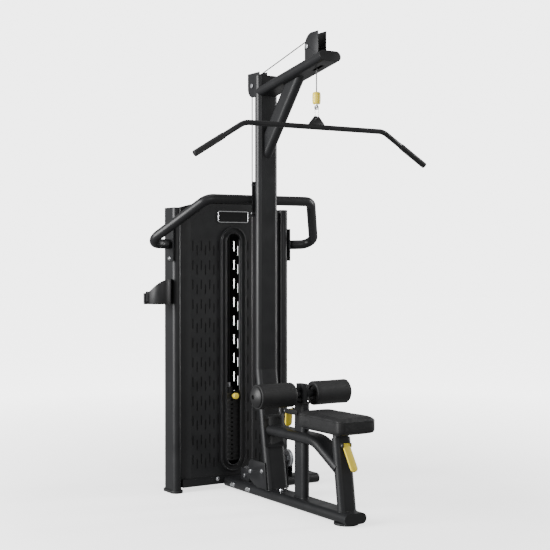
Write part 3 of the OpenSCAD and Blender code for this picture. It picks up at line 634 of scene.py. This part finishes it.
def foam_roller(node, outward):
    """Foam cylinder with a round inner end, a groove, and a moulded dome on its outer end."""
    low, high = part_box(node)
    centre = (low + high) / 2
    half = (high.x - low.x) / 2
    radius = (high.z - low.z) / 2 - 0.0008
    dome, cup_depth, bore, waist, edge = 0.022, 0.010, 0.0125, 0.0010, 0.006
    rim = half - dome
    inner = [(-half + cup_depth, bore), (-half + cup_depth, 0.034), (-half + 0.0015, 0.037)]
    inner += arc_points(-half + 0.010, radius - 0.010, 0.010, 182, 92, 8)
    belly = []
    steps = 14
    for i in range(1, steps):
        t = i / steps
        along = -half + cup_depth + t * (rim - edge + half - cup_depth)
        belly.append((along, radius - waist * math.sin(math.pi * t)))
    outer = arc_points(rim - edge, radius - edge, edge, 90, 20, 6) + [(rim - 0.001, radius - 0.0085)]
    outer += [(rim - edge, radius - 0.011), (rim - edge, bore)]
    piece = lathed(node + "_skin", [(x * outward, r) for x, r in inner + belly + outer], centre, 80,
                   "black_foam", BODY_OF[node])
    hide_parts(node)
    # moulded end cap: a shallow dome with a blind hole
    sphere_r = ((radius - 0.003) ** 2 + dome * dome) / (2 * dome)
    cap_r, hole_r, hole_depth = radius - 0.009, 0.0110, 0.0200
    cap = [(rim - 0.005, radius - 0.0105), (rim + 0.0005, radius - 0.0085)]
    steps = 16
    for i in range(steps + 1):
        r = cap_r + (hole_r - cap_r) * i / steps
        cap.append((half - 0.0012 - sphere_r + math.sqrt(sphere_r ** 2 - r * r), r))
    cap += [(half - 0.0030, 0.0100), (half - hole_depth, 0.0098), (half - hole_depth, 0.0)]
    lathed(node + "_cap", [(x * outward, r) for x, r in cap], centre, 64, "black_plastic", BODY_OF[node])


# ---------------------------------------------------------------- small fittings

def weld_bead(name, points):
    """Stack-of-coins weld along a closed level path."""
    radius, spacing = 0.0028, 0.002
    path = []
    for i, p in enumerate(points):
        q = points[(i + 1) % len(points)]
        parts = max(1, int((q - p).length / spacing))
        path += [p.lerp(q, k / parts) for k in range(parts)]
    last = len(path) - 1

    def ripple(t):
        """One coin in every three steps along the bead."""
        return 1 + 0.16 * math.cos(t * last * math.pi / 1.5)

    bm = bmesh.new()
    sweep(bm, path, circle(radius, 8), up=Z_AXIS, closed=True, scale=ripple)
    new_piece(name, bm, "black_powder", "frame")


def flat_ring(width, depth, y, z, turn=0.0):
    """A level stadium loop about (0, y, z), its long side along X, or along Y when turned."""
    spin = Matrix.Rotation(turn, 4, "Z")
    return [Vector((0, y, z)) + spin @ Vector((a, b, 0)) for a, b in stadium(width, depth, 10)]


def welds():
    """Beads round the feet of the three uprights on the floor rail."""
    rail_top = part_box("base_rail")[1].z
    low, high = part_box("roller_post")
    weld_bead("weld_roller_post", flat_ring(0.091, 0.046, (low.y + high.y) / 2, rail_top, math.pi / 2))
    # both tubes lean, so the centre of the cut lies behind the box's front
    leg_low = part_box("seat_leg")[0]
    weld_bead("weld_seat_leg", flat_ring(0.093, 0.0515, leg_low.y + 0.0268, rail_top))
    column_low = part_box("column")[0]
    weld_bead("weld_column", flat_ring(0.118, 0.052, column_low.y + 0.0256, rail_top))


# ---------------------------------------------------------------- stage

# light strengths: of the backdrop as seen, of the floor at the machine, and of the surroundings
BACKDROP = 4.4
FLOOR_GLOW = 1.6
AMBIENT = 0.40


def stage():
    """Pale floor that fades to the white backdrop, and dim even light all round."""
    bm = bmesh.new()
    bmesh.ops.create_circle(bm, cap_ends=True, segments=96, radius=30)
    mesh = bpy.data.meshes.new("floor")
    bm.to_mesh(mesh)
    bm.free()
    floor = bpy.data.objects.new("floor", mesh)
    SCENE.collection.objects.link(floor)
    n = Nodes("floor_paint")
    n.colour(n.noise(1.5, 2), (0.88, 0.88, 0.88), (0.90, 0.90, 0.90))
    n.rough(n.noise(4, 2), 0.9, 0.95)
    n.fixed(Emission_Color=(1, 1, 1, 1), Specular_IOR_Level=0.1)
    distance = n.tree.nodes.new("ShaderNodeVectorMath")
    distance.operation = "LENGTH"
    n.link(n.coords, distance.inputs[0])
    n.link(n.spread(distance.outputs["Value"], FLOOR_GLOW, BACKDROP * 0.93, 1.2, 5.0),
           n.shader.inputs["Emission Strength"])
    mesh.materials.append(n.material)
    floor.visible_diffuse = False
    floor.visible_glossy = False
    world = bpy.data.worlds.new("studio")
    world.use_nodes = True
    tree = world.node_tree
    tree.nodes["Background"].inputs["Color"].default_value = (1, 1, 1, 1)
    seen = tree.nodes.new("ShaderNodeLightPath").outputs["Is Camera Ray"]
    level = tree.nodes.new("ShaderNodeMapRange")
    level.inputs["To Min"].default_value = AMBIENT
    level.inputs["To Max"].default_value = BACKDROP
    tree.links.new(seen, level.inputs["Value"])
    tree.links.new(level.outputs["Result"], tree.nodes["Background"].inputs["Strength"])
    SCENE.world = world


def area_light(name, place, target, size, power):
    data = bpy.data.lights.new(name, "AREA")
    data.shape = "RECTANGLE"
    data.size, data.size_y = size
    data.energy = power
    light = bpy.data.objects.new(name, data)
    light.location = place
    light.rotation_euler = (Vector(target) - Vector(place)).to_track_quat("-Z", "Y").to_euler()
    SCENE.collection.objects.link(light)


def camera():
    data = bpy.data.cameras.new("camera")
    data.sensor_width = 36.0
    data.lens = 77.7
    data.clip_end = 100
    eye = bpy.data.objects.new("camera", data)
    eye.location = (-3.113, -4.890, 1.207)
    heading = Vector((0.531, 0.847, -0.01516))
    eye.rotation_euler = heading.to_track_quat("-Z", "Y").to_euler()
    SCENE.collection.objects.link(eye)
    SCENE.camera = eye


# ---------------------------------------------------------------- assembly

# width of the rounding that each CAD node's sharp edges get
SOFT_EDGES = {
    "front_pulley_bracket": 0.0008, "rear_pulley_bracket": 0.0008, "bar_lugs": 0.0012,
    "cable_stopper": 0.0015, "selector_pin": 0.0012, "seat_lever": 0.0026, "roller_lever": 0.0026,
    "lever_brackets": 0.0010, "handle_mounts": 0.0012, "foot_gussets": 0.0010, "rail_flange": 0.0012,
    "tube_end_caps": 0.0014, "post_collar": 0.0014, "tower_feet": 0.0020, "front_foot": 0.0025,
    "frame_bolts": 0.0008, "pulley_brackets": 0.0008,
    "head_plate": 0.0015, "weight_plates": 0.0015, "accessory_hook": 0.0010, "seat_plate": 0.0008,
    "swivel_eye": 0.0006, "axles_and_pins": 0.0008,
}

for name, node in frame["nodes"].items():
    paint(node, SLOT_OF[name])
for name, width in SOFT_EDGES.items():
    soften(name, width)
handle_bar()
seat_rail()
lat_bar()
cables()
window_rim()
badge()
seat_pad()
foam_roller("foam_roller_left", -1)
foam_roller("foam_roller_right", 1)
welds()
stage()
camera()
for light in (
    # name, place, target, size, watts
    ("key", (-5.5, 0.6, 2.2), (0, 0.1, 1.0), (3.5, 3.5), 760),
    ("front", (-0.6, -5.5, 2.6), (0, 0, 1.0), (2.4, 2.4), 75),
    ("top", (0.0, 0.0, 5.5), (0, 0, 1.0), (3.0, 3.0), 45),
    ("rim", (4.5, -1.0, 2.0), (0, 0, 1.1), (0.8, 3.5), 170),
):
    area_light(*light)
